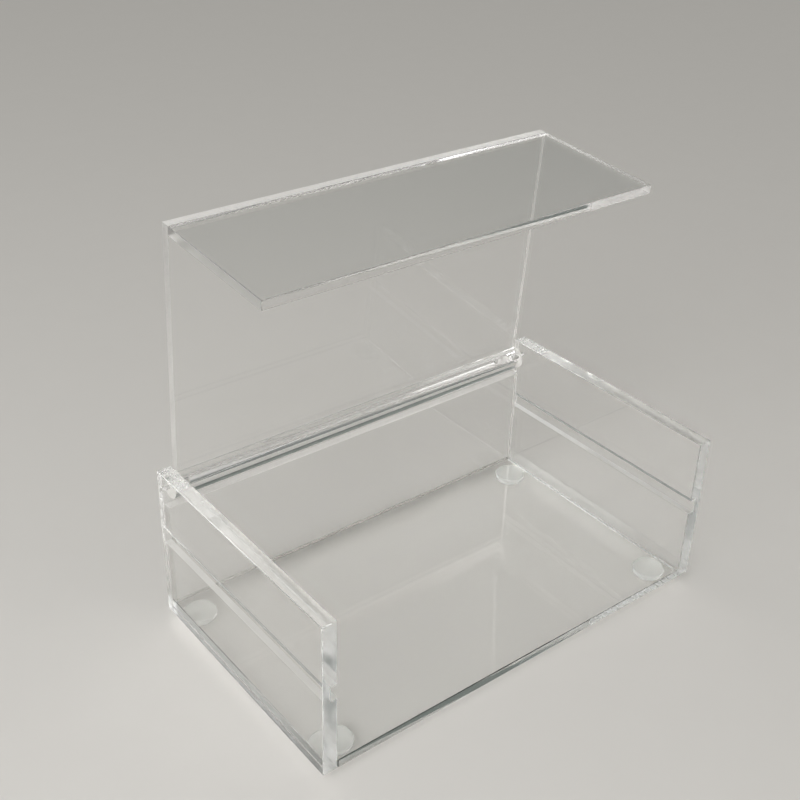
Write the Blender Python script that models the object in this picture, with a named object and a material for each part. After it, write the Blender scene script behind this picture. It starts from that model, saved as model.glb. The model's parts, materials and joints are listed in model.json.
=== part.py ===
"""Clear acrylic box with an open front, grooved sides and a hinged lid.

The box is cut from flat sheet and cemented together: a base, two thick sides that carry
a shelf groove each, and a low back. The lid is a flat panel with a front flap, cemented
into a round rod that turns on two steel pins. Four clear bumpers keep the box off the table.

The model stands on z = 0, with its open front towards -Y. The origin lies under its middle.
The lid is open, leaning a little forward, and turns about the object lid_pivot.
"""

import math

import bmesh
import bpy
from mathutils import Matrix

MM = 0.001

# Box
BOX_WIDTH = 156.0 * MM
BOX_DEPTH = 90.0 * MM
SIDE_HEIGHT = 55.0 * MM
SIDE_SHEET = 5.0 * MM
BASE_SHEET = 3.0 * MM
BACK_SHEET = 3.0 * MM

# Shelf grooves, milled along the inner faces of the sides
GROOVE_HEIGHT = 27.2 * MM
GROOVE_WIDTH = 5.2 * MM
GROOVE_DEPTH = 2.2 * MM

# Lid
LID_SHEET = 3.0 * MM
FLAP_SHEET = 3.0 * MM
LID_SIDE_CLEARANCE = 1.25 * MM
LID_FRONT_OVERHANG = 1.2 * MM
FLAP_CLEARANCE = 0.4 * MM
LID_OPEN_ANGLE = math.radians(85.8)
LID_CLOSED_ANGLE = math.radians(0.9)

# Hinge: the rod's axis is measured down from the side tops and in from the rear faces
HINGE_DROP = 6.0 * MM
HINGE_INSET = 2.2 * MM
ROD_DIAMETER = 8.0 * MM
GAP_UNDER_ROD = 3.2 * MM
LID_SEAT_HEIGHT = 1.0 * MM
LID_SEAT_REACH = 2.1 * MM
PIN_DIAMETER = 1.2 * MM
PIN_ENGAGEMENT = 2.5 * MM
PIN_END_CLEARANCE = 0.5 * MM
PIN_SEAT_CLEARANCE = 0.03 * MM
PIN_RUNNING_CLEARANCE = 0.06 * MM

# Bumper feet
FOOT_DIAMETER = 11.0 * MM
FOOT_HEIGHT = 3.3 * MM
FOOT_RIM = 0.9 * MM
FOOT_FLAT_DIAMETER = 5.6 * MM
FOOT_INSET_X = 10.5 * MM
FOOT_INSET_Y = 8.8 * MM

# Making: the cement line between bonded sheets, and the broken arris of a sawn edge
BOND_GAP = 0.2 * MM
EDGE_BREAK = 0.2 * MM
ROD_SEGMENTS = 48
PIN_SEGMENTS = 24
FOOT_SEGMENTS = 32
FOOT_ARC_STEPS = 6
SMOOTH_ANGLE = math.radians(30.0)
OVERCUT = 1.0 * MM

# Places that follow from the sizes above
ROD_RADIUS = ROD_DIAMETER / 2
INNER_HALF_WIDTH = BOX_WIDTH / 2 - SIDE_SHEET
LID_HALF_WIDTH = INNER_HALF_WIDTH - LID_SIDE_CLEARANCE
DEPTH_OVER_ROD = BOX_DEPTH + max(ROD_RADIUS - HINGE_INSET, 0.0)
FRONT_Y = -DEPTH_OVER_ROD / 2
REAR_Y = FRONT_Y + BOX_DEPTH
UNDERSIDE_Z = FOOT_HEIGHT + BOND_GAP
BASE_TOP_Z = UNDERSIDE_Z + BASE_SHEET
SIDE_TOP_Z = UNDERSIDE_Z + SIDE_HEIGHT
HINGE_Y = REAR_Y - HINGE_INSET
HINGE_Z = SIDE_TOP_Z - HINGE_DROP

CLEAR_ACRYLIC = {"color": (0.94, 0.96, 0.95, 1.0), "roughness": 0.03, "transmission": 1.0, "ior": 1.49}
CLEAR_BUMPER = {"color": (0.93, 0.94, 0.93, 1.0), "roughness": 0.12, "transmission": 0.9, "ior": 1.5}
STAINLESS_PIN = {"color": (0.55, 0.55, 0.56, 1.0), "roughness": 0.25, "metallic": 1.0}


def clear_scene():
    for old in list(bpy.data.objects):
        bpy.data.objects.remove(old, do_unlink=True)


def make_material(name, color, roughness, metallic=0.0, transmission=0.0, ior=1.45):
    material = bpy.data.materials.new(name)
    material.use_nodes = True
    shader = material.node_tree.nodes["Principled BSDF"]
    shader.inputs["Base Color"].default_value = color
    shader.inputs["Roughness"].default_value = roughness
    shader.inputs["Metallic"].default_value = metallic
    shader.inputs["Transmission Weight"].default_value = transmission
    shader.inputs["IOR"].default_value = ior
    return material


def add_object(name, shape, finish=None, parent=None):
    """Turn a bmesh into a named object with its own material."""
    bmesh.ops.recalc_face_normals(shape, faces=shape.faces)
    mesh = bpy.data.meshes.new(name)
    shape.to_mesh(mesh)
    shape.free()
    piece = bpy.data.objects.new(name, mesh)
    bpy.context.scene.collection.objects.link(piece)
    piece.parent = parent
    if finish:
        mesh.materials.append(make_material(name, **finish))
    return piece


def box_shape(low, high):
    """A rectangular block between two opposite corners."""
    shape = bmesh.new()
    bmesh.ops.create_cube(shape, size=1.0)
    for corner in shape.verts:
        for axis in range(3):
            corner.co[axis] = low[axis] if corner.co[axis] < 0 else high[axis]
    return shape


def cylinder_shape(radius, x_low, x_high, y=0.0, z=0.0):
    """A round bar along X."""
    shape = bmesh.new()
    bmesh.ops.create_cone(shape, cap_ends=True, segments=PIN_SEGMENTS, radius1=radius, radius2=radius,
                          depth=x_high - x_low)
    turn = Matrix.Rotation(math.pi / 2, 4, "Y")
    place = Matrix.Translation(((x_low + x_high) / 2, y, z))
    bmesh.ops.transform(shape, matrix=place @ turn, verts=shape.verts)
    return shape


def add_sheet(name, low, high, parent=None):
    """A sawn sheet of acrylic with its arrises broken."""
    sheet = add_object(name, box_shape(low, high), CLEAR_ACRYLIC, parent)
    edge_break = sheet.modifiers.new("edge_break", "BEVEL")
    edge_break.width = EDGE_BREAK
    edge_break.segments = 1
    edge_break.limit_method = "ANGLE"
    return sheet


def cut(piece, name, shape):
    """Take a shape away from a piece, with a hidden cutter under the same parent."""
    cutter = add_object(name, shape, parent=piece.parent)
    cutter.hide_render = True
    cutter.display_type = "WIRE"
    removal = piece.modifiers.new(name, "BOOLEAN")
    removal.operation = "DIFFERENCE"
    removal.solver = "EXACT"
    removal.object = cutter


def smooth_round(piece):
    piece.data.shade_smooth()
    piece.data.set_sharp_from_angle(angle=SMOOTH_ANGLE)


def mirrored_span(side, inner, outer):
    """The X limits, low then high, of a span given as distances from the middle on one side."""
    return sorted((side * inner, side * outer))


def add_base_plate():
    half = INNER_HALF_WIDTH - BOND_GAP
    add_sheet("base_plate", (-half, FRONT_Y, UNDERSIDE_Z), (half, REAR_Y, BASE_TOP_Z))


def add_back_panel():
    """The low back, which ends under the rod so that the lid can fold away behind the box."""
    half = INNER_HALF_WIDTH - BOND_GAP
    low = (-half, REAR_Y - BACK_SHEET, BASE_TOP_Z + BOND_GAP)
    high = (half, REAR_Y, HINGE_Z - ROD_RADIUS - GAP_UNDER_ROD)
    add_sheet("back_panel", low, high)


def add_side_panel(name, side):
    """A thick side with its shelf groove, milled from front to rear, and its hinge pin hole."""
    x_low, x_high = mirrored_span(side, INNER_HALF_WIDTH, BOX_WIDTH / 2)
    panel = add_sheet(name, (x_low, FRONT_Y, UNDERSIDE_Z), (x_high, REAR_Y, SIDE_TOP_Z))
    groove_low, groove_high = mirrored_span(side, INNER_HALF_WIDTH - OVERCUT, INNER_HALF_WIDTH + GROOVE_DEPTH)
    floor_z = UNDERSIDE_Z + GROOVE_HEIGHT
    cut(panel, name + "_groove",
        box_shape((groove_low, FRONT_Y - OVERCUT, floor_z),
                  (groove_high, REAR_Y + OVERCUT, floor_z + GROOVE_WIDTH)))
    hole_radius = PIN_DIAMETER / 2 + PIN_SEAT_CLEARANCE
    cut(panel, name + "_pin_hole",
        cylinder_shape(hole_radius, x_low - OVERCUT, x_high + OVERCUT, HINGE_Y, HINGE_Z))


def add_hinge_pin(name, side):
    """A steel pin, fast in the side panel and flush outside, that the rod turns on."""
    x_low, x_high = mirrored_span(side, LID_HALF_WIDTH - PIN_ENGAGEMENT, BOX_WIDTH / 2)
    pin = add_object(name, cylinder_shape(PIN_DIAMETER / 2, x_low, x_high, HINGE_Y, HINGE_Z), STAINLESS_PIN)
    smooth_round(pin)


def rod_profile():
    """The rod's section, as (y, z) about its axis with the lid closed.

    It is a circle with one corner cut away: a wall under the lid panel's inner face, and a lip
    behind its end at y = LID_SEAT_REACH, past the axis. They meet the circle at the two ends of
    one long arc.
    """
    wall_z = LID_SEAT_HEIGHT - BOND_GAP
    start = math.atan2(wall_z, -math.sqrt(ROD_RADIUS**2 - wall_z**2))
    end = math.atan2(math.sqrt(ROD_RADIUS**2 - LID_SEAT_REACH**2), LID_SEAT_REACH) + 2 * math.pi
    angles = [start + (end - start) * step / ROD_SEGMENTS for step in range(ROD_SEGMENTS + 1)]
    arc = [(ROD_RADIUS * math.cos(angle), ROD_RADIUS * math.sin(angle)) for angle in angles]
    return arc + [(LID_SEAT_REACH, wall_z)]


def add_hinge_rod(pivot):
    """The round rod that carries the lid, bored at both ends for the pins."""
    shape = bmesh.new()
    ring = [shape.verts.new((-LID_HALF_WIDTH, y, z)) for y, z in rod_profile()]
    end_face = shape.faces.new(ring)
    grown = bmesh.ops.extrude_face_region(shape, geom=[end_face])["geom"]
    far_end = [item for item in grown if isinstance(item, bmesh.types.BMVert)]
    bmesh.ops.translate(shape, verts=far_end, vec=(2 * LID_HALF_WIDTH, 0.0, 0.0))
    rod = add_object("hinge_rod", shape, CLEAR_ACRYLIC, pivot)
    smooth_round(rod)
    bore_depth = PIN_ENGAGEMENT + PIN_END_CLEARANCE
    bore_radius = PIN_DIAMETER / 2 + PIN_RUNNING_CLEARANCE
    for label, side in (("left", -1), ("right", 1)):
        x_low, x_high = mirrored_span(side, LID_HALF_WIDTH - bore_depth, LID_HALF_WIDTH + OVERCUT)
        cut(rod, "hinge_rod_bore_" + label, cylinder_shape(bore_radius, x_low, x_high))


def flap_foot(reach):
    """Where the flap ends below the axis, so that its inner face, at this reach from the axis, clears
    the base with the lid at its closed angle, just short of level."""
    clear_of_base = BASE_TOP_Z + FLAP_CLEARANCE - HINGE_Z
    return (clear_of_base - reach * math.sin(LID_CLOSED_ANGLE)) / math.cos(LID_CLOSED_ANGLE)


def add_lid_sheets(pivot):
    """The lid panel, seated in the rod, and the flap cemented under its front edge."""
    front_y = FRONT_Y - LID_FRONT_OVERHANG - HINGE_Y
    flap_inner_y = front_y + FLAP_SHEET
    inner_z = LID_SEAT_HEIGHT
    add_sheet("lid_panel", (-LID_HALF_WIDTH, front_y, inner_z),
              (LID_HALF_WIDTH, LID_SEAT_REACH - BOND_GAP, inner_z + LID_SHEET), pivot)
    add_sheet("lid_front_flap", (-LID_HALF_WIDTH, front_y, flap_foot(-flap_inner_y)),
              (LID_HALF_WIDTH, flap_inner_y, inner_z - BOND_GAP), pivot)


def foot_profile():
    """The bumper's section from its flat foot out and up to its rim, as (radius, z)."""
    flat_radius = FOOT_FLAT_DIAMETER / 2
    reach = FOOT_DIAMETER / 2 - flat_radius
    rise = FOOT_HEIGHT - FOOT_RIM
    turns = [math.pi / 2 * step / FOOT_ARC_STEPS for step in range(FOOT_ARC_STEPS + 1)]
    dome = [(flat_radius + reach * math.sin(turn), rise * (1 - math.cos(turn))) for turn in turns]
    return dome + [(FOOT_DIAMETER / 2, FOOT_HEIGHT)]


def add_foot(name, x, y):
    """A moulded bumper: a round dome with a flat to stand on, turned about its own axis."""
    shape = bmesh.new()
    profile = [shape.verts.new((radius, 0.0, z)) for radius, z in foot_profile()]
    edges = [shape.edges.new(pair) for pair in zip(profile, profile[1:])]
    bmesh.ops.spin(shape, geom=profile + edges, cent=(0, 0, 0), axis=(0, 0, 1), angle=2 * math.pi,
                   steps=FOOT_SEGMENTS, use_merge=True)
    rims = [edge for edge in shape.edges if edge.is_boundary]
    bmesh.ops.holes_fill(shape, edges=rims, sides=FOOT_SEGMENTS)
    foot = add_object(name, shape, CLEAR_BUMPER)
    foot.location = (x, y, 0.0)
    smooth_round(foot)


def add_feet():
    foot_x = BOX_WIDTH / 2 - FOOT_INSET_X
    for row, y in (("front", FRONT_Y + FOOT_INSET_Y), ("rear", REAR_Y - FOOT_INSET_Y)):
        add_foot(row + "_left_foot", -foot_x, y)
        add_foot(row + "_right_foot", foot_x, y)


def add_lid_pivot():
    """The empty on the hinge axis that carries the lid, turned to its open angle."""
    pivot = bpy.data.objects.new("lid_pivot", None)
    bpy.context.scene.collection.objects.link(pivot)
    pivot.location = (0.0, HINGE_Y, HINGE_Z)
    pivot.rotation_euler = (-LID_OPEN_ANGLE, 0.0, 0.0)
    return pivot


def build():
    clear_scene()
    add_base_plate()
    add_back_panel()
    for label, side in (("left", -1), ("right", 1)):
        add_side_panel(label + "_side_panel", side)
        add_hinge_pin(label + "_hinge_pin", side)
    add_feet()
    pivot = add_lid_pivot()
    add_hinge_rod(pivot)
    add_lid_sheets(pivot)


build()
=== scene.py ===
# %% [markdown]
# # A clear acrylic box with a hinged lid
# This lesson dresses a small box that is cut from clear sheet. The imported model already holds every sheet,
# rod, pin and foot at its real size, and all of them sit in one frame, in metres. What is left is how they
# look. Clear acrylic is seen only by what it bends and mirrors, so the light and the finish of each edge do
# most of the work.

# %% Load the frame
import json
import math

import bmesh
import bpy
import numpy as np
from mathutils import Matrix, Vector


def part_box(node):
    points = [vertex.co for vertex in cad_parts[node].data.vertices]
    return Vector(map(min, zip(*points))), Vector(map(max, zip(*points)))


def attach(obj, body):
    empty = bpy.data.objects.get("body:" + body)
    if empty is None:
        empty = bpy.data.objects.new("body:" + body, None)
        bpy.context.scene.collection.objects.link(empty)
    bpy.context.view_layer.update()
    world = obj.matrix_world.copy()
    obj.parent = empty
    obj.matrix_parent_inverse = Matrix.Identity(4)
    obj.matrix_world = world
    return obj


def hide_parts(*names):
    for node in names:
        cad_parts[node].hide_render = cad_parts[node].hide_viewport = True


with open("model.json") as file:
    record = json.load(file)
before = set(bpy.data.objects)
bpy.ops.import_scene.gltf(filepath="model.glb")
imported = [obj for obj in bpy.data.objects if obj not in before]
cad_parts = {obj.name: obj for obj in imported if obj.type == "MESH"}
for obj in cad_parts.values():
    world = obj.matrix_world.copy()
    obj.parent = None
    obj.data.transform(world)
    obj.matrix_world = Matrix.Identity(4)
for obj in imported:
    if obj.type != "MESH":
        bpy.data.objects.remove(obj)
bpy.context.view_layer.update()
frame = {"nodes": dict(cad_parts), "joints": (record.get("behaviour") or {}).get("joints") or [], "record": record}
MM = 0.001

# %% [markdown]
# ## The camera
# The photograph was taken from the front left, from a little above the lid. The camera's place and lens come
# from matching the box's corners, so they are plain numbers here. A heading, a tilt and a small roll say
# where it looks.

# %% The camera
CAMERA_PLACE = (-0.21508, -0.24593, 0.27252)
CAMERA_HEADING = math.radians(38.81)
CAMERA_TILT = math.radians(-30.77)
CAMERA_ROLL = math.radians(1.76)
CAMERA_LENS_MM = 54.7
SENSOR_MM = 36.0
NEAREST = 10.0 * MM
QUARTER_TURN = math.pi / 2

camera_data = bpy.data.cameras.new("photo_camera")
camera_data.lens = CAMERA_LENS_MM
camera_data.sensor_width = SENSOR_MM
camera_data.clip_start = NEAREST
camera = bpy.data.objects.new("photo_camera", camera_data)
bpy.context.scene.collection.objects.link(camera)
turn = Matrix.Rotation(-CAMERA_HEADING, 4, "Z") @ Matrix.Rotation(QUARTER_TURN + CAMERA_TILT, 4, "X")
camera.matrix_world = Matrix.Translation(CAMERA_PLACE) @ turn @ Matrix.Rotation(CAMERA_ROLL, 4, "Z")
bpy.context.scene.camera = camera
bpy.context.scene.view_settings.view_transform = "Standard"
print("camera at", CAMERA_PLACE, "lens", CAMERA_LENS_MM)

# %% [markdown]
# ## Helpers for nodes
# A material is a small graph. Making nodes by hand takes three lines each, so one helper adds a node, sets
# its properties and fills its inputs, either with a plain value or with a link from an earlier node. The
# others use it for the nodes that come up again and again.

# %% One node, and arithmetic with nodes
MIX_FACTOR, MIX_A, MIX_B, MIX_RESULT = 0, 6, 7, 2


def add_node(tree, kind, sockets=None, **settings):
    """Add a node, set its properties, and fill its inputs with plain values or with links."""
    made = tree.nodes.new(kind)
    for name, value in settings.items():
        setattr(made, name, value)
    for key, value in (sockets or {}).items():
        if isinstance(value, bpy.types.NodeSocket):
            tree.links.new(value, made.inputs[key])
        else:
            made.inputs[key].default_value = value
    return made


def mix_colours(tree, share, first, second):
    """Blend two colours: a share of 0 gives the first, and of 1 the second."""
    sockets = {MIX_FACTOR: share, MIX_A: first, MIX_B: second}
    return add_node(tree, "ShaderNodeMix", sockets, data_type="RGBA").outputs[MIX_RESULT]


def work_out(tree, operation, first, second=0.0):
    """One step of arithmetic on two values."""
    return add_node(tree, "ShaderNodeMath", {0: first, 1: second}, operation=operation).outputs["Value"]


def vector_step(tree, operation, first, second=(0.0, 0.0, 0.0)):
    """One step of arithmetic on two vectors that gives a vector."""
    made = add_node(tree, "ShaderNodeVectorMath", {0: first, 1: second}, operation=operation)
    return made.outputs["Vector"]


def ease(tree, value, low, high, start=0.0, end=1.0):
    """Carry a value smoothly from start, where it is at low, to end, where it is at high."""
    sockets = {"Value": value, "From Min": low, "From Max": high, "To Min": start, "To Max": end}
    return add_node(tree, "ShaderNodeMapRange", sockets, interpolation_type="SMOOTHSTEP").outputs["Result"]


def dot(tree, first, second):
    """The share of one vector that lies along another."""
    product = add_node(tree, "ShaderNodeVectorMath", {0: first, 1: second}, operation="DOT_PRODUCT")
    return product.outputs["Value"]


# %% Patterns, bumps and new materials
EVEN = 0.5
UNTURNED = (0.0, 0.0, 0.0)


def own_place(tree):
    """The place of a point on its piece, in metres."""
    return add_node(tree, "ShaderNodeTexCoord").outputs["Object"]


def noise(tree, place, scale, detail, roughness=EVEN):
    """A smooth noise over a place, with so many features to the metre, and finer detail on top."""
    sockets = {"Vector": place, "Scale": scale, "Detail": detail, "Roughness": roughness}
    return add_node(tree, "ShaderNodeTexNoise", sockets).outputs["Fac"]


def stretch(tree, place, scale, turn=UNTURNED):
    """A place with each axis turned and scaled by itself, so that a noise over it is drawn out."""
    sockets = {"Vector": place, "Rotation": turn, "Scale": scale}
    return add_node(tree, "ShaderNodeMapping", sockets).outputs["Vector"]


def bump_normal(tree, strength, depth, height, normal=None):
    """A normal that leans with a height: how strongly, how deep in metres, and over which other normal."""
    sockets = {"Strength": strength, "Distance": depth, "Height": height}
    if normal is not None:
        sockets["Normal"] = normal
    return add_node(tree, "ShaderNodeBump", sockets).outputs["Normal"]


def new_finish(name):
    """A new material with nodes: the material, its tree and its shader."""
    material = bpy.data.materials.new(name)
    material.use_nodes = True
    return material, material.node_tree, material.node_tree.nodes["Principled BSDF"]


# %% [markdown]
# ## The light
# Clear sheet on a pale floor almost vanishes under even light. A studio photographer gives it edges: a soft
# room all round, a tall dark card behind on the right, which the edges and the rod pick up as dark lines, and
# a white card at the right, which the side edges pick up as white lines. All are one smooth sky, so shadows
# stay soft. One broad lamp on the left, a little in front, lets the floor fade away from it. Light that is
# caught inside a sheet bounces many times before it leaves by an edge, so the bounce limits go up.

# %% The sky
ROOM_COLOUR = (0.63, 0.616, 0.597, 1.0)
WHITE_CARD_COLOUR = (1.0, 0.98, 0.95, 1.0)
WHITE_CARD_TOWARDS = Vector((1.0, 0.0, 0.0))
WHITE_CARD_SIDE, WHITE_CARD_MIDDLE = 0.75, 0.95
WHITE_CARD_TOP, WHITE_CARD_CLEAR = 0.5, 0.8
CARD_COLOUR = (0.115, 0.135, 0.126, 1.0)
CARD_TOWARDS = Vector((0.62, 0.78, 0.0)).normalized()
CARD_SIDE, CARD_MIDDLE = 0.6, 0.8
CARD_TOP, CARD_CLEAR = 0.97, 0.995
SKY_UP = (0.0, 0.0, 1.0)
SKY_LEVEL = (1.0, 1.0, 0.0)

world = bpy.data.worlds.new("soft_studio")
bpy.context.scene.world = world
world.use_nodes = True
sky = world.node_tree
towards = add_node(sky, "ShaderNodeTexCoord").outputs["Generated"]
height = dot(sky, towards, SKY_UP)
heading = vector_step(sky, "NORMALIZE", vector_step(sky, "MULTIPLY", towards, SKY_LEVEL))
white_width = ease(sky, dot(sky, heading, WHITE_CARD_TOWARDS), WHITE_CARD_SIDE, WHITE_CARD_MIDDLE)
white_height = ease(sky, height, WHITE_CARD_TOP, WHITE_CARD_CLEAR, 1.0, 0.0)
card_width = ease(sky, dot(sky, heading, CARD_TOWARDS), CARD_SIDE, CARD_MIDDLE)
card_height = ease(sky, height, CARD_TOP, CARD_CLEAR, 1.0, 0.0)
room = mix_colours(sky, work_out(sky, "MULTIPLY", white_width, white_height), ROOM_COLOUR, WHITE_CARD_COLOUR)
room_and_card = mix_colours(sky, work_out(sky, "MULTIPLY", card_width, card_height), room, CARD_COLOUR)
sky.links.new(room_and_card, sky.nodes["Background"].inputs["Color"])
print("sky:", world.name)

# %% The lamp
LAMP_PLACE = Vector((-0.65, -0.39, 0.5))
LAMP_SIZE = 0.7
LAMP_WATTS = 5.4
BOUNCES = 40

lamp_data = bpy.data.lights.new("broad_lamp", "AREA")
lamp_data.size = LAMP_SIZE
lamp_data.energy = LAMP_WATTS
lamp = bpy.data.objects.new("broad_lamp", lamp_data)
bpy.context.scene.collection.objects.link(lamp)
lamp.location = LAMP_PLACE
lamp.rotation_mode = "QUATERNION"
lamp.rotation_quaternion = (-LAMP_PLACE).to_track_quat("-Z", "Y")
lamp.visible_camera = False

light_paths = bpy.context.scene.cycles
light_paths.max_bounces = BOUNCES
light_paths.glossy_bounces = BOUNCES
light_paths.transmission_bounces = BOUNCES
light_paths.blur_glossy = 0.0
print("lamp:", lamp.name, "of", LAMP_WATTS, "watts")

# %% [markdown]
# ## The floor
# The box stands on a pale, satin table top. It is a wide disc, so that it fills the view, with a faint mottle
# that keeps it from looking like a flat fill. It lies a hair under the feet, because two faces in one plane
# flicker.

# %% The floor
FLOOR_RADIUS = 2.0
FLOOR_DROP = 0.1 * MM
FLOOR_SIDES = 128
FLOOR_PALE = (0.68, 0.665, 0.64, 1.0)
FLOOR_MOTTLE = (0.665, 0.65, 0.625, 1.0)
FLOOR_ROUGHNESS = 0.7
MOTTLE_SCALE, MOTTLE_DETAIL = 60.0, 4.0


def pale_floor_finish():
    """A pale satin top whose colour wanders a little with a noise."""
    material, tree, shader = new_finish("pale_floor")
    mottle = noise(tree, own_place(tree), MOTTLE_SCALE, MOTTLE_DETAIL)
    tree.links.new(mix_colours(tree, mottle, FLOOR_PALE, FLOOR_MOTTLE), shader.inputs["Base Color"])
    shader.inputs["Roughness"].default_value = FLOOR_ROUGHNESS
    return material


floor_turns = np.linspace(0.0, 2 * np.pi, FLOOR_SIDES, endpoint=False)
floor_rim = np.stack([FLOOR_RADIUS * np.cos(floor_turns), FLOOR_RADIUS * np.sin(floor_turns),
                      np.full(FLOOR_SIDES, -FLOOR_DROP)], axis=-1)
floor_mesh = bpy.data.meshes.new("floor")
floor_mesh.from_pydata(floor_rim.tolist(), [], [list(range(FLOOR_SIDES))])
floor_mesh.materials.append(pale_floor_finish())
floor = bpy.data.objects.new("floor", floor_mesh)
bpy.context.scene.collection.objects.link(floor)
print("floor radius:", FLOOR_RADIUS)

# %% [markdown]
# ## Helpers for surfaces
# Every new piece here is a skin over rings: a grid of points whose rows are rings, worked out as whole
# arrays. The two end rings close to a point, so the skin is a closed body. Smooth shading with sharp corners
# does the rest. A piece may have several finishes: faces that look along a given direction, within a given
# span, take another one.

# %% A skin over rings
SMOOTH_ANGLE = math.radians(30.0)


def skin_rings(name, rings):
    """A closed skin over rings[r, n]: row r joins row r + 1, columns wrap round, and end rows close to a
    point."""
    row_count, column_count, _ = rings.shape
    index = np.arange(row_count * column_count).reshape(row_count, column_count)
    beside = np.roll(index, -1, axis=1)
    quads = np.stack([index[:-1], beside[:-1], beside[1:], index[1:]], axis=-1).reshape(-1, 4)
    first_cap = np.stack([np.full(column_count, index.size), beside[0], index[0]], axis=-1)
    last_cap = np.stack([np.full(column_count, index.size + 1), index[-1], beside[-1]], axis=-1)
    points = np.concatenate([rings.reshape(-1, 3), rings[:1].mean(axis=1), rings[-1:].mean(axis=1)])
    mesh = bpy.data.meshes.new(name)
    mesh.from_pydata(points.tolist(), [], quads.tolist() + first_cap.tolist() + last_cap.tolist())
    shape = bmesh.new()
    shape.from_mesh(mesh)
    bmesh.ops.recalc_face_normals(shape, faces=shape.faces)
    shape.to_mesh(mesh)
    shape.free()
    mesh.shade_smooth()
    mesh.set_sharp_from_angle(angle=SMOOTH_ANGLE)
    piece = bpy.data.objects.new(name, mesh)
    bpy.context.scene.collection.objects.link(piece)
    return piece


# %% Finishes and places of pieces
def face_values(piece, name):
    """A property of every face of a piece, one row of three numbers for each."""
    values = np.empty(len(piece.data.polygons) * 3)
    piece.data.polygons.foreach_get(name, values)
    return values.reshape(-1, 3)


def finish_faces(piece, material, towards, least, along=None, span=None):
    """Give another finish to the faces whose normal has at least a given share along one of the directions,
    and whose middle lies within a span along an axis."""
    piece.data.materials.append(material)
    chosen = (face_values(piece, "normal") @ np.array(towards, dtype=float).T).max(axis=1) > least
    if span:
        place = face_values(piece, "center") @ along
        chosen &= (place > span[0]) & (place < span[1])
    slots = np.empty(len(chosen), dtype=np.int32)
    piece.data.polygons.foreach_get("material_index", slots)
    slots[chosen] = len(piece.data.materials) - 1
    piece.data.polygons.foreach_set("material_index", slots)
    print(piece.name, material.name, "faces:", int(chosen.sum()))


def stand_for(piece, node):
    """Let a piece take a node's place: it moves with the node's body, and the node is hidden."""
    body = next(name for name, members in frame["record"]["behaviour"]["bodies"].items() if node in members)
    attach(piece, body)
    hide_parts(node)
    triangles = sum(len(face.vertices) - 2 for face in piece.data.polygons)
    print(piece.name, "for", node, "on", body, "triangles:", triangles)


# %% [markdown]
# ## Marks that several finishes share
# A sheet has two kinds of surface. Its faces are as cast, and only handling marks them. Its edges were sawn,
# then scraped and polished, some better than others. Three node groups hold what is common: which part of a
# sheet is edge, what a saw leaves on it, and the fine rubs that dull a face.

# %% Which way a surface looks
FACING_STARTS, FACING_FULL = 0.65, 0.9


def new_group(name, inputs, outputs):
    """An empty node group with the named sockets. Each is a name with its kind: Float or Vector."""
    group = bpy.data.node_groups.new(name, "ShaderNodeTree")
    for label, kind in inputs:
        group.interface.new_socket(label, in_out="INPUT", socket_type="NodeSocket" + kind)
    for label, kind in outputs:
        group.interface.new_socket(label, in_out="OUTPUT", socket_type="NodeSocket" + kind)
    return group, add_node(group, "NodeGroupInput").outputs, add_node(group, "NodeGroupOutput").inputs


def make_facing_group():
    """Where a surface looks one way: the share of its own normal along a direction, eased from about 50 to
    about 26 degrees off."""
    group, given, result = new_group("looks_towards", [("Towards", "Vector")], [("Facing", "Float")])
    normal = add_node(group, "ShaderNodeTexCoord").outputs["Normal"]
    share = dot(group, normal, given["Towards"])
    group.links.new(ease(group, share, FACING_STARTS, FACING_FULL), result["Facing"])
    return group


FACING_GROUP = make_facing_group()
print("group:", FACING_GROUP.name)

# %% Saw marks
CHIP_DETAIL, CHIP_ROUGHNESS = 3.0, 0.6
GRAIN_DETAIL, GRAIN_SHARE = 2.0, 0.5
COVER_STARTS, COVER_FULL = 0.32, 0.5


def make_saw_group():
    """What a saw leaves: chips of about half a millimetre over a finer grain, and how thick they lie."""
    group, given, result = new_group("saw_marks", [("Chip", "Float"), ("Grain", "Float")],
                                     [("Height", "Float"), ("Cover", "Float")])
    place = own_place(group)
    chips = noise(group, place, given["Chip"], CHIP_DETAIL, CHIP_ROUGHNESS)
    grain = noise(group, place, given["Grain"], GRAIN_DETAIL)
    height = work_out(group, "ADD", chips, work_out(group, "MULTIPLY", grain, GRAIN_SHARE))
    group.links.new(height, result["Height"])
    group.links.new(ease(group, chips, COVER_STARTS, COVER_FULL), result["Cover"])
    return group


SAW_GROUP = make_saw_group()
print("group:", SAW_GROUP.name)

# %% Handling rubs
RUB_STRETCH, RUB_DETAIL = (40.0, 1500.0, 1500.0), 2.0
RUB_STARTS, RUB_FULL, RUB_SHARE = 0.68, 0.8, 0.6
HAZE_SCALE, HAZE_DETAIL = 35.0, 3.0
HAZE_STARTS, HAZE_FULL, HAZE_SHARE = 0.45, 0.75, 0.4


def make_rub_group():
    """Fine rubs from handling: long thin streaks, drawn by stretching a noise, over a broad uneven haze."""
    group, given, result = new_group("handling_rubs", [("Turn", "Vector")], [("Rub", "Float")])
    place = own_place(group)
    streaks = noise(group, stretch(group, place, RUB_STRETCH, given["Turn"]), 1.0, RUB_DETAIL)
    haze = noise(group, place, HAZE_SCALE, HAZE_DETAIL)
    thin = ease(group, streaks, RUB_STARTS, RUB_FULL, 0.0, RUB_SHARE)
    broad = ease(group, haze, HAZE_STARTS, HAZE_FULL, 0.0, HAZE_SHARE)
    group.links.new(work_out(group, "ADD", thin, broad), result["Rub"])
    return group


RUB_GROUP = make_rub_group()
print("group:", RUB_GROUP.name)

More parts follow.
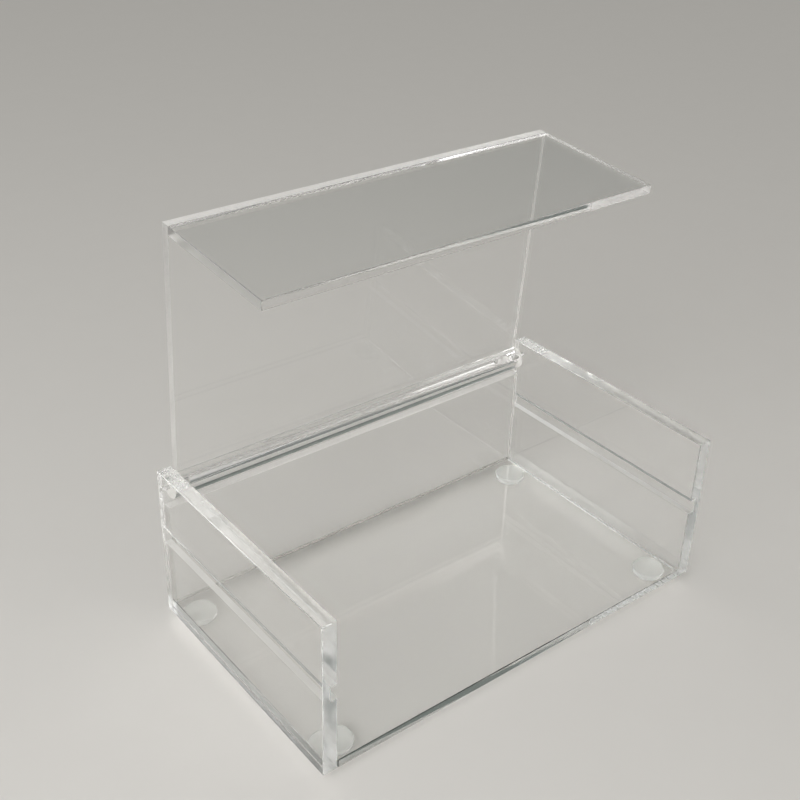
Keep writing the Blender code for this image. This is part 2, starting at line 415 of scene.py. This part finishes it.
# %% [markdown]
# ## Clear acrylic
# Acrylic bends light by 1.49 and takes almost none of it, so it gets full transmission. Its faces are mirror
# smooth but for rubs. Its edges are polished, scraped or left matt, so each way that an edge looks has its
# own roughness. A side has more marks of the tools that made it: a matt lower edge, matt walls in the shelf
# groove, saw marks round the hinge, and fine scraper lines along the top. Each of these is a mask, made from
# the place on the piece and the way it looks.

# %% How rough each edge is
RUB_ROUGHNESS = 0.04
BUFFED = 0.03
POLISHED = 0.05
SCRAPED = 0.2
SAWN_ROUGHNESS = 0.3
CEMENTED = 0.35
FROSTED = 0.4
MILLED = 0.4
MATT = 0.9
ACROSS_X = np.array((1.0, 0.0, 0.0))
UPWARDS = np.array((0.0, 0.0, 1.0))
REARWARDS = np.array((0.0, 1.0, 0.0))
SIDE_EDGES = [(UPWARDS, POLISHED), (-UPWARDS, POLISHED), (REARWARDS, MATT), (-REARWARDS, SCRAPED)]
BASE_EDGES = [(-REARWARDS, BUFFED), (REARWARDS, FROSTED), (ACROSS_X, CEMENTED), (-ACROSS_X, CEMENTED)]
print("edges of a side:", len(SIDE_EDGES), "edges of the base:", len(BASE_EDGES))

# %% Masks for the sides
ACROSS_HINGE = (0.0, 1.0, 1.0)
PIN_HOLE, PIN_CLEAR = 0.8 * MM, 1.2 * MM
SAWN_FULL, SAWN_END = 10.0 * MM, 26.0 * MM
UNDERSIDE_FULL, UNDERSIDE_END = 5.0 * MM, 8.0 * MM
GROOVE_MIDDLE, GROOVE_HALF = 33.3 * MM, 2.6 * MM
GROOVE_FLOOR = 75.2 * MM
GROOVE_FADE = 0.2 * MM
hinge_axis = np.array(frame["joints"][0]["pos_m"])


def facing(tree, towards):
    """A mask that is 1 where the surface looks one way."""
    return add_node(tree, "ShaderNodeGroup", {"Towards": towards}, node_tree=FACING_GROUP).outputs["Facing"]


def near_hinge(tree):
    """A mask that is 1 round the hinge axis, but for the pin's hole, and falls to 0 with distance from it."""
    offset = vector_step(tree, "SUBTRACT", own_place(tree), hinge_axis)
    flat = vector_step(tree, "MULTIPLY", offset, ACROSS_HINGE)
    distance = add_node(tree, "ShaderNodeVectorMath", {0: flat}, operation="LENGTH").outputs["Value"]
    outside_hole = ease(tree, distance, PIN_HOLE, PIN_CLEAR)
    return work_out(tree, "MULTIPLY", outside_hole, ease(tree, distance, SAWN_FULL, SAWN_END, 1.0, 0.0))


def on_underside(tree):
    """A mask that is 1 on the lower edge of a side and 0 higher up."""
    low = ease(tree, dot(tree, own_place(tree), UPWARDS), UNDERSIDE_FULL, UNDERSIDE_END, 1.0, 0.0)
    return work_out(tree, "MULTIPLY", facing(tree, -UPWARDS), low)


def in_groove(tree):
    """A mask that is 1 in a shelf groove: at its height, and no further out than its floor."""
    split = add_node(tree, "ShaderNodeSeparateXYZ", {"Vector": own_place(tree)}).outputs
    height = work_out(tree, "ABSOLUTE", work_out(tree, "SUBTRACT", split["Z"], GROOVE_MIDDLE))
    depth = work_out(tree, "ABSOLUTE", split["X"])
    level = ease(tree, height, GROOVE_HALF + GROOVE_FADE / 2, GROOVE_HALF + GROOVE_FADE, 1.0, 0.0)
    inside = ease(tree, depth, GROOVE_FLOOR + GROOVE_FADE, GROOVE_FLOOR + 2 * GROOVE_FADE, 1.0, 0.0)
    return work_out(tree, "MULTIPLY", level, inside)


print("hinge axis in mm:", [round(place / MM, 1) for place in hinge_axis])

# %% The clear finish
ACRYLIC_IOR = 1.49
ACRYLIC_TINT = (0.999, 1.0, 0.997, 1.0)
FULLY_CLEAR = 1.0
RUB_TURN = (0.3, 0.7, 0.5)
CHIP_SCALE, GRAIN_SCALE = 1500.0, 5000.0
SAW_DEPTH = 0.05 * MM
SCRAPER_SCALE, SCRAPER_DETAIL = (2500.0, 25.0, 2500.0), 2.0
SCRAPER_DEPTH = 0.008 * MM


def make_clear(shader, tint, ior, clearness):
    """Set what is the same all over a clear finish: its tint, how far it bends light, and the clear share."""
    shader.inputs["Base Color"].default_value = tint
    shader.inputs["Transmission Weight"].default_value = clearness
    shader.inputs["IOR"].default_value = ior


def saw_marks(tree, chip_scale, grain_scale):
    """What a saw leaves, with chips and grain of given scales, per metre: their height and their cover."""
    sockets = {"Chip": chip_scale, "Grain": grain_scale}
    return add_node(tree, "ShaderNodeGroup", sockets, node_tree=SAW_GROUP).outputs


def scraper_lines(tree):
    """A normal with fine lines along the top edge, as a scraper leaves: a noise drawn out along Y."""
    lines = noise(tree, stretch(tree, own_place(tree), SCRAPER_SCALE), 1.0, SCRAPER_DETAIL)
    return bump_normal(tree, facing(tree, UPWARDS), SCRAPER_DEPTH, lines)


def at_least(tree, rough, mask, roughness):
    """Raise a roughness to a given one where a mask is 1."""
    return work_out(tree, "MAXIMUM", rough, work_out(tree, "MULTIPLY", mask, roughness))


def clear_acrylic(name, edges, is_side=False):
    """Clear sheet with rubbed faces. Each edge is given as the way it looks and how rough it is."""
    material, tree, shader = new_finish(name)
    make_clear(shader, ACRYLIC_TINT, ACRYLIC_IOR, FULLY_CLEAR)
    rub = add_node(tree, "ShaderNodeGroup", {"Turn": RUB_TURN}, node_tree=RUB_GROUP).outputs["Rub"]
    rough = work_out(tree, "MULTIPLY", rub, RUB_ROUGHNESS)
    edge = 0.0
    for towards, roughness in edges:
        share = facing(tree, towards)
        edge = work_out(tree, "MAXIMUM", share, edge)
        rough = at_least(tree, rough, share, roughness)
    if is_side:
        saw = saw_marks(tree, CHIP_SCALE, GRAIN_SCALE)
        sawn = work_out(tree, "MULTIPLY", edge, near_hinge(tree))
        rough = at_least(tree, rough, work_out(tree, "MULTIPLY", sawn, saw["Cover"]), SAWN_ROUGHNESS)
        rough = at_least(tree, rough, on_underside(tree), MATT)
        rough = at_least(tree, rough, work_out(tree, "MULTIPLY", edge, in_groove(tree)), MILLED)
        normal = bump_normal(tree, sawn, SAW_DEPTH, saw["Height"], scraper_lines(tree))
        tree.links.new(normal, shader.inputs["Normal"])
    tree.links.new(rough, shader.inputs["Roughness"])
    return material


SIDE_ACRYLIC = clear_acrylic("side_acrylic", SIDE_EDGES, is_side=True)
BASE_ACRYLIC = clear_acrylic("base_acrylic", BASE_EDGES)
frame["nodes"]["left_side_panel"].material_slots[0].material = SIDE_ACRYLIC
frame["nodes"]["right_side_panel"].material_slots[0].material = SIDE_ACRYLIC
frame["nodes"]["base_plate"].material_slots[0].material = BASE_ACRYLIC
print("finishes:", SIDE_ACRYLIC.name, BASE_ACRYLIC.name)

# %% [markdown]
# ## The depth of clear acrylic
# Seen end on, the base and the sides look faintly green, because a long path through the sheet takes some red
# away. A volume does that. It is given only to pieces with one finish, since Cycles starts and ends a volume
# by material.

# %% The depth of clear acrylic
ABSORBED = (0.45, 0.8, 0.7, 1.0)
SIDE_ABSORPTION, BASE_ABSORPTION = 0.2, 0.6


def tint_depth(material, absorbed, absorption):
    """Let the depth of a material take light away: a colour that is left, and how soon."""
    tree = material.node_tree
    volume = add_node(tree, "ShaderNodeVolumeAbsorption", {"Color": absorbed, "Density": absorption})
    tree.links.new(volume.outputs["Volume"], tree.nodes["Material Output"].inputs["Volume"])


tint_depth(SIDE_ACRYLIC, ABSORBED, SIDE_ABSORPTION)
tint_depth(BASE_ACRYLIC, ABSORBED, BASE_ABSORPTION)
print("absorption per metre:", SIDE_ABSORPTION, BASE_ABSORPTION)

# %% [markdown]
# ## Sawn and cemented acrylic
# The lid's front edge, the top of the back and the ends of the rod were left as the saw cut them, and the
# lid's left edge was only scraped. Such an edge is a mass of tiny chips that scatter light, so it looks
# white. Some of the light still passes through, so the finish is partly clear, and its whiteness, roughness
# and bump all follow the saw marks. A good cement joint is the opposite: the cement bends light as the sheet
# does, so nothing is seen there, and its faces pass light straight on. The joint under the back is duller
# cement, and its tint is darkened further as painted shade where the back stands on the base.

# %% Sawn edges
SAWN_WHITE = (0.95, 0.94, 0.92, 1.0)
SAWN_DULL = (0.82, 0.815, 0.8, 1.0)
SAWN_CLEARNESS, SCRAPED_CLEARNESS = 0.4, 0.8
SAWN_SMOOTH, SAWN_COARSE = 0.7, 0.95
SAWN_STRENGTH = 0.06
FINE_CHIPS, COARSE_CHIPS = 2500.0, 1200.0


def sawn_acrylic(name, chip_scale, clearness):
    """A sawn edge: white chips of a given scale, per metre, over a duller ground, and the share that is
    clear."""
    material, tree, shader = new_finish(name)
    make_clear(shader, SAWN_WHITE, ACRYLIC_IOR, clearness)
    saw = saw_marks(tree, chip_scale, GRAIN_SCALE)
    tree.links.new(mix_colours(tree, saw["Cover"], SAWN_DULL, SAWN_WHITE), shader.inputs["Base Color"])
    rough = ease(tree, saw["Cover"], 0.0, 1.0, SAWN_SMOOTH, SAWN_COARSE)
    tree.links.new(rough, shader.inputs["Roughness"])
    normal = bump_normal(tree, SAWN_STRENGTH, SAW_DEPTH, saw["Height"])
    tree.links.new(normal, shader.inputs["Normal"])
    return material


FINE_SAWN = sawn_acrylic("fine_sawn_acrylic", FINE_CHIPS, SAWN_CLEARNESS)
COARSE_SAWN = sawn_acrylic("coarse_sawn_acrylic", COARSE_CHIPS, SAWN_CLEARNESS)
SCRAPED_SAWN = sawn_acrylic("scraped_sawn_acrylic", FINE_CHIPS, SCRAPED_CLEARNESS)
print("finishes:", FINE_SAWN.name, COARSE_SAWN.name, SCRAPED_SAWN.name)

# %% Cement joints
CEMENT_IOR = 1.0
CEMENT_PALE, CEMENT_CLEAR = (0.97, 0.97, 0.965, 1.0), (1.0, 1.0, 1.0, 1.0)
CEMENT_DULL_AND_SHADE, CEMENT_DIM_AND_SHADE = (0.52, 0.505, 0.475, 1.0), (0.58, 0.565, 0.535, 1.0)
WISP_SCALE, WISP_GRAIN_SCALE = CHIP_SCALE / 4, GRAIN_SCALE / 4


def cement_joint(name, wisp, clear):
    """A face in a cement joint: it bends nothing, and wisps of another colour are where the cement ran
    thin. Darker colours, as in the joint under the back, also paint shade into the joint."""
    material, tree, shader = new_finish(name)
    make_clear(shader, clear, CEMENT_IOR, FULLY_CLEAR)
    shader.inputs["Roughness"].default_value = 0.0
    saw = saw_marks(tree, WISP_SCALE, WISP_GRAIN_SCALE)
    tree.links.new(mix_colours(tree, saw["Cover"], wisp, clear), shader.inputs["Base Color"])
    return material


CEMENT = cement_joint("cement_joint", CEMENT_PALE, CEMENT_CLEAR)
# The joint under the back: dull cement, with both its colours darkened as painted shade at the foot of the back.
SHADED_DULL_CEMENT = cement_joint("dull_cement_joint", CEMENT_DULL_AND_SHADE, CEMENT_DIM_AND_SHADE)
print("finishes:", CEMENT.name, SHADED_DULL_CEMENT.name)

# %% [markdown]
# ## The lid, its flap and the back
# These are plain sheets with their sharp corners broken by a scraper. One function makes them all: the
# section, a rectangle with round corners, is carried along the sheet and drawn in along a quarter circle at
# both ends, so that every arris is round and catches a thin soft line. An arris in a joint is filled with
# cement, so it is all but sharp. Next to each arris a narrow skirt keeps the shading of the wide faces flat.
# An extra ring marks off the strip of a face that is cemented to another piece.

# %% Which way the lid lies
lid_points = np.array([corner.co for corner in frame["nodes"]["lid_panel"].data.vertices])
lid_normal = np.linalg.svd(lid_points - lid_points.mean(axis=0), full_matrices=False)[2][2]
lid_normal *= np.sign(lid_normal[1])
lid_open = math.atan2(lid_normal[1], lid_normal[2])
lid_forward = np.cross(lid_normal, ACROSS_X)
lid_forward *= np.sign(lid_forward[2])
print("lid open by", round(math.degrees(lid_open), 2), "degrees")

# %% A sheet with round arrises
ARRIS, FILLED_ARRIS = 0.15 * MM, 0.02 * MM
FLAT_SKIRT = 0.1 * MM
ARC_STEPS = 5
CORNER_SIGNS = np.array([(1, 1), (-1, 1), (-1, -1), (1, -1)])


def node_span(node, along):
    """The lowest and highest place of a node along an axis."""
    places = np.array([corner.co for corner in frame["nodes"][node].data.vertices]) @ along
    return places.min(), places.max()


def end_rings(reach, arris):
    """How far each ring at an end is drawn in, s, and how high it is, h, with an arris of radius r:
    s = r (1 - sin t), h = reach - r (1 - cos t)."""
    bend = np.linspace(0.0, QUARTER_TURN, ARC_STEPS)
    inset = np.concatenate([[arris + FLAT_SKIRT], arris * (1 - np.sin(bend)), [0.0]])
    height = np.concatenate([[reach], reach - arris * (1 - np.cos(bend)), [reach - arris - FLAT_SKIRT]])
    return inset, height


def sheet_rings(node, along, arrises, marks):
    """A sheet in the place of a node. Each ring is a rectangle of half sizes (a, b) with quarter-circle
    corners, shrunk by an inset at a height along the sheet. Marks are heights of rings between the ends."""
    basis = np.stack([ACROSS_X, np.cross(along, ACROSS_X), along])
    spans = np.array([node_span(node, axis) for axis in basis])
    middle, half = spans.mean(axis=1), np.diff(spans, axis=1)[:, 0] / 2
    bend = np.linspace(0.0, QUARTER_TURN, ARC_STEPS)
    (far_inset, far_height), (near_inset, near_height) = (end_rings(half[2], arris) for arris in arrises)
    inset = np.concatenate([far_inset, np.zeros(len(marks)), near_inset[::-1]])
    height = np.concatenate([far_height, np.array(marks) - middle[2], -near_height[::-1]])
    corner_turns = QUARTER_TURN * np.arange(len(CORNER_SIGNS))[:, None]
    turns = (corner_turns + np.concatenate([[0.0], bend, [QUARTER_TURN]])).ravel()
    corner_slide = np.concatenate([[-FLAT_SKIRT], np.zeros(ARC_STEPS), [FLAT_SKIRT]])
    slide = np.tile(corner_slide, len(CORNER_SIGNS))[:, None]
    signs = np.repeat(CORNER_SIGNS, len(corner_slide), axis=0)
    outwards = np.stack([np.cos(turns), np.sin(turns)], axis=-1)
    onwards = np.stack([-np.sin(turns), np.cos(turns)], axis=-1)
    flat = signs * (half[:2] - ARRIS) + slide * onwards + (ARRIS - inset)[:, None, None] * outwards
    local = np.concatenate([flat, np.broadcast_to(height[:, None, None], flat.shape[:2] + (1,))], axis=-1)
    return (local + middle) @ basis


def make_sheet(name, node, along, edges, arrises, marks=()):
    """Skin a sheet along its length, from its far end to its near end, with rough edges, the arrises of the
    two ends and rings at the marks."""
    piece = skin_rings(name, sheet_rings(node, along, arrises, sorted(marks, reverse=True)))
    piece.data.materials.append(clear_acrylic(node + "_acrylic", edges))
    stand_for(piece, node)
    return piece


print("arris in mm:", ARRIS / MM)

# %% Make the lid, its flap and the back
OPEN_LEAST, JOINT_LEAST = 0.25, 0.95
LID_SHEET = 3.0 * MM
LID_IN_ROD = 5.8 * MM

lid_end, lid_front = node_span("lid_panel", lid_forward)
in_rod, under_flap = lid_end + LID_IN_ROD, lid_front - LID_SHEET
lid_sheet = make_sheet("lid_sheet", "lid_panel", lid_forward, [(ACROSS_X, MATT), (-lid_forward, POLISHED)],
                       (FILLED_ARRIS, ARRIS), [in_rod, under_flap])
finish_faces(lid_sheet, SCRAPED_SAWN, [-ACROSS_X], OPEN_LEAST)
finish_faces(lid_sheet, FINE_SAWN, [lid_forward], JOINT_LEAST)
finish_faces(lid_sheet, CEMENT, [-lid_normal], JOINT_LEAST, lid_forward, (lid_end, in_rod))
finish_faces(lid_sheet, CEMENT, [-lid_normal], JOINT_LEAST, lid_forward, (under_flap, lid_front))
flap_sheet = make_sheet("flap_sheet", "lid_front_flap", lid_normal,
                        [(-lid_normal, POLISHED), (-ACROSS_X, FROSTED), (ACROSS_X, MATT)],
                        (FILLED_ARRIS, ARRIS))
finish_faces(flap_sheet, CEMENT, [lid_normal], JOINT_LEAST)
back_sheet = make_sheet("back_sheet", "back_panel", UPWARDS,
                        [(ACROSS_X, CEMENTED), (-ACROSS_X, CEMENTED)], (ARRIS, FILLED_ARRIS))
# The foot of the back takes the dull cement, darkened as painted shade.
finish_faces(back_sheet, SHADED_DULL_CEMENT, [-UPWARDS], JOINT_LEAST)
finish_faces(back_sheet, FINE_SAWN, [UPWARDS], OPEN_LEAST)

# %% [markdown]
# ## The hinge rod
# The lid turns on a round rod of clear acrylic. Its upper part is milled away along its length to seat the
# lid, past the axis, so a lip stays behind the lid's end, and each end is bored for a pin. Facets would show
# at once in a clear rod, because it works as a lens, so this one is made anew with fine rings. An end face is
# three rings: the bore, a core round it, and the outline. The core lies under the lip, so that the face can
# reach up into it.

# %% The rod's section
ROD_RADIUS = 4.0 * MM
ROD_SEAT_WALL = 0.8 * MM
ROD_SEAT_REACH = 2.1 * MM
CORE_SHARE = 0.9
LIP_SPREAD = 0.12
ARC_FACETS = 240
WALL_FACETS = 60


def rod_outline(radius):
    """The rod's section as (y, z) about its axis with the lid closed: an arc from the seat's wall round under
    the axis to the tip of the lip, then the wall from the lip's foot back to the arc. Wall points lie at even
    angles about the axis, at y = wall / tan(angle)."""
    start = math.pi - math.asin(ROD_SEAT_WALL / radius)
    arc = np.linspace(start, 2 * math.pi + math.acos(ROD_SEAT_REACH / radius), ARC_FACETS)
    wall = np.linspace(math.atan2(ROD_SEAT_WALL, ROD_SEAT_REACH), start, WALL_FACETS, endpoint=False)
    arc_points = radius * np.stack([np.cos(arc), np.sin(arc)], axis=-1)
    wall_points = ROD_SEAT_WALL * np.stack([1 / np.tan(wall), np.ones_like(wall)], axis=-1)
    return np.concatenate([arc_points, wall_points])


def rod_core(outline):
    """The outline drawn in by a share, with the lip pressed down to the level of the wall and spread a
    little."""
    drawn_in = CORE_SHARE * outline
    lip = np.maximum(drawn_in[:, 1] - CORE_SHARE * ROD_SEAT_WALL, 0.0)
    return drawn_in + np.stack([LIP_SPREAD * lip, -lip], axis=-1)


def rod_ring(section, x):
    """One ring of the section at a place along X, turned with the lid about the hinge axis."""
    turned_y = section[:, 0] * math.cos(lid_open) + section[:, 1] * math.sin(lid_open)
    turned_z = section[:, 1] * math.cos(lid_open) - section[:, 0] * math.sin(lid_open)
    return np.stack([np.full_like(turned_y, x), hinge_axis[1] + turned_y, hinge_axis[2] + turned_z], axis=-1)


print("facets round the rod:", ARC_FACETS + WALL_FACETS)

# %% Make the rod
ROD_ARRIS = 0.15 * MM
BORE_RADIUS = 0.66 * MM
BORE_DEPTH = 3.0 * MM

rod_low, rod_high = (np.array(corner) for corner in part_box("hinge_rod"))
rod_face = rod_outline(ROD_RADIUS - ROD_ARRIS)
core = rod_core(rod_face)
bore = BORE_RADIUS * core / np.linalg.norm(core, axis=1, keepdims=True)
bored_end = [(bore, BORE_DEPTH), (bore, 0.0)]
rod_end = bored_end + [(core, 0.0), (rod_face, 0.0), (rod_outline(ROD_RADIUS), ROD_ARRIS)]
rod_rings = [rod_ring(section, rod_low[0] + inset) for section, inset in rod_end]
rod_rings += [rod_ring(section, rod_high[0] - inset) for section, inset in reversed(rod_end)]
rod = skin_rings("turned_hinge_rod", np.array(rod_rings))
rod.data.materials.append(clear_acrylic("hinge_rod_acrylic", []))
finish_faces(rod, COARSE_SAWN, [ACROSS_X, -ACROSS_X], OPEN_LEAST)
finish_faces(rod, CEMENT, [lid_normal], JOINT_LEAST)
stand_for(rod, "hinge_rod")

# %% [markdown]
# ## Turned pieces
# Pins and feet are round, so each is a profile turned about an axis: a list of places along the axis, each
# with a radius. The pins are short lengths of drawn steel wire with their ends chamfered. The feet are soft
# clear bumpers: a flat that stands on the table, a dome that swells to the full width, and a straight rim.

# %% Turned pieces
TURN_STEPS = 96


def turned_rings(centre, axis, along, radius):
    """Rings round an axis: centre + along * axis + radius * (cos t * u + sin t * v), with u and v across
    it."""
    first = np.roll(axis, 1)
    second = np.cross(axis, first)
    turns = np.linspace(0.0, 2 * math.pi, TURN_STEPS, endpoint=False)
    spokes = np.cos(turns)[:, None] * first + np.sin(turns)[:, None] * second
    return centre + along[:, None, None] * axis + radius[:, None, None] * spokes


print("steps round a turned piece:", TURN_STEPS)

# %% [markdown]
# ## The hinge pins
# Drawn wire has fine streaks along its length. They come from one noise, stretched along X, that drives the
# roughness, the bump and a slight change of colour.

# %% The hinge pins
PIN_CHAMFER = 0.15 * MM
STEEL_PALE = (0.62, 0.61, 0.6, 1.0)
STEEL_DARK = (0.45, 0.45, 0.45, 1.0)
STEEL_SMOOTH, STEEL_ROUGH = 0.22, 0.42
STREAK_SCALE, STREAK_DETAIL = (150.0, 9000.0, 9000.0), 3.0
STREAK_LOW, STREAK_HIGH = 0.3, 0.7
STREAK_STRENGTH, STREAK_DEPTH = 0.5, 0.005 * MM


def drawn_steel():
    """Drawn wire: a noise stretched along X gives streaks."""
    material, tree, shader = new_finish("drawn_steel")
    shader.inputs["Metallic"].default_value = 1.0
    streaks = noise(tree, stretch(tree, own_place(tree), STREAK_SCALE), 1.0, STREAK_DETAIL)
    tree.links.new(mix_colours(tree, streaks, STEEL_PALE, STEEL_DARK), shader.inputs["Base Color"])
    rough = ease(tree, streaks, STREAK_LOW, STREAK_HIGH, STEEL_SMOOTH, STEEL_ROUGH)
    tree.links.new(rough, shader.inputs["Roughness"])
    normal = bump_normal(tree, STREAK_STRENGTH, STREAK_DEPTH, streaks)
    tree.links.new(normal, shader.inputs["Normal"])
    return material


STEEL = drawn_steel()
for node in ("left_hinge_pin", "right_hinge_pin"):
    low, high = (np.array(corner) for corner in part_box(node))
    reach, girth = (high[0] - low[0]) / 2, (high[1] - low[1]) / 2
    pin_along = np.array([-reach, -reach + PIN_CHAMFER, reach - PIN_CHAMFER, reach])
    pin_radius = np.array([girth - PIN_CHAMFER, girth, girth, girth - PIN_CHAMFER])
    pin_rings = turned_rings((low + high) / 2, ACROSS_X, pin_along, pin_radius)
    pin = skin_rings(node.replace("hinge", "wire"), pin_rings)
    pin.data.materials.append(STEEL)
    stand_for(pin, node)

# %% [markdown]
# ## The feet
# The bumpers are clear polyurethane, softer and a little cloudier than the sheet. Pressed on, they pick up
# dust and fine pits, so their roughness wanders, and a slight bump makes the highlights wobble.

# %% The feet
FOOT_FLAT = 2.8 * MM
FOOT_RISE = 2.4 * MM
FOOT_LIP = 0.12 * MM
DOME_STEPS = 24
BUMPER_TINT = (0.97, 0.975, 0.965, 1.0)
BUMPER_IOR = 1.2
BUMPER_CLEARNESS = 0.7
BUMPER_ABSORBED = (0.8, 0.82, 0.7, 1.0)
BUMPER_ABSORPTION = 6.0
BUMPER_SMOOTH, BUMPER_ROUGH = 0.08, 0.3
PIT_SCALE, PIT_DETAIL = 2500.0, 2.0
PIT_STRENGTH, PIT_DEPTH = 0.2, 0.02 * MM
CLOUD_SCALE, CLOUD_DETAIL = 300.0, 3.0
CLOUD_LOW, CLOUD_HIGH = 0.3, 0.7


def soft_bumper():
    """Clear soft bumper: a fine noise for pits, and a broad one for cloudiness, both in the roughness."""
    material, tree, shader = new_finish("soft_bumper")
    make_clear(shader, BUMPER_TINT, BUMPER_IOR, BUMPER_CLEARNESS)
    tint_depth(material, BUMPER_ABSORBED, BUMPER_ABSORPTION)
    place = own_place(tree)
    pits = noise(tree, place, PIT_SCALE, PIT_DETAIL)
    cloud = noise(tree, place, CLOUD_SCALE, CLOUD_DETAIL)
    cloudiness = ease(tree, cloud, CLOUD_LOW, CLOUD_HIGH, BUMPER_SMOOTH, BUMPER_ROUGH)
    tree.links.new(work_out(tree, "MULTIPLY", pits, cloudiness), shader.inputs["Roughness"])
    normal = bump_normal(tree, PIT_STRENGTH, PIT_DEPTH, pits)
    tree.links.new(normal, shader.inputs["Normal"])
    return material


BUMPER = soft_bumper()
dome = np.linspace(0.0, QUARTER_TURN, DOME_STEPS)
for node in ("front_left_foot", "front_right_foot", "rear_left_foot", "rear_right_foot"):
    low, high = (np.array(corner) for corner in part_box(node))
    radius, tall = (high[0] - low[0]) / 2, high[2] - low[2]
    dome_radius = FOOT_FLAT + (radius - FOOT_FLAT) * np.sin(dome)
    foot_radius = np.concatenate([dome_radius, [radius, radius - FOOT_LIP]])
    foot_along = np.concatenate([FOOT_RISE * (1 - np.cos(dome)), [tall - FOOT_LIP, tall]])
    underneath = np.array([(low[0] + high[0]) / 2, (low[1] + high[1]) / 2, low[2]])
    foot_rings = turned_rings(underneath, UPWARDS, foot_along, foot_radius)
    foot = skin_rings(node.replace("foot", "bumper"), foot_rings)
    foot.data.materials.append(BUMPER)
    stand_for(foot, node)
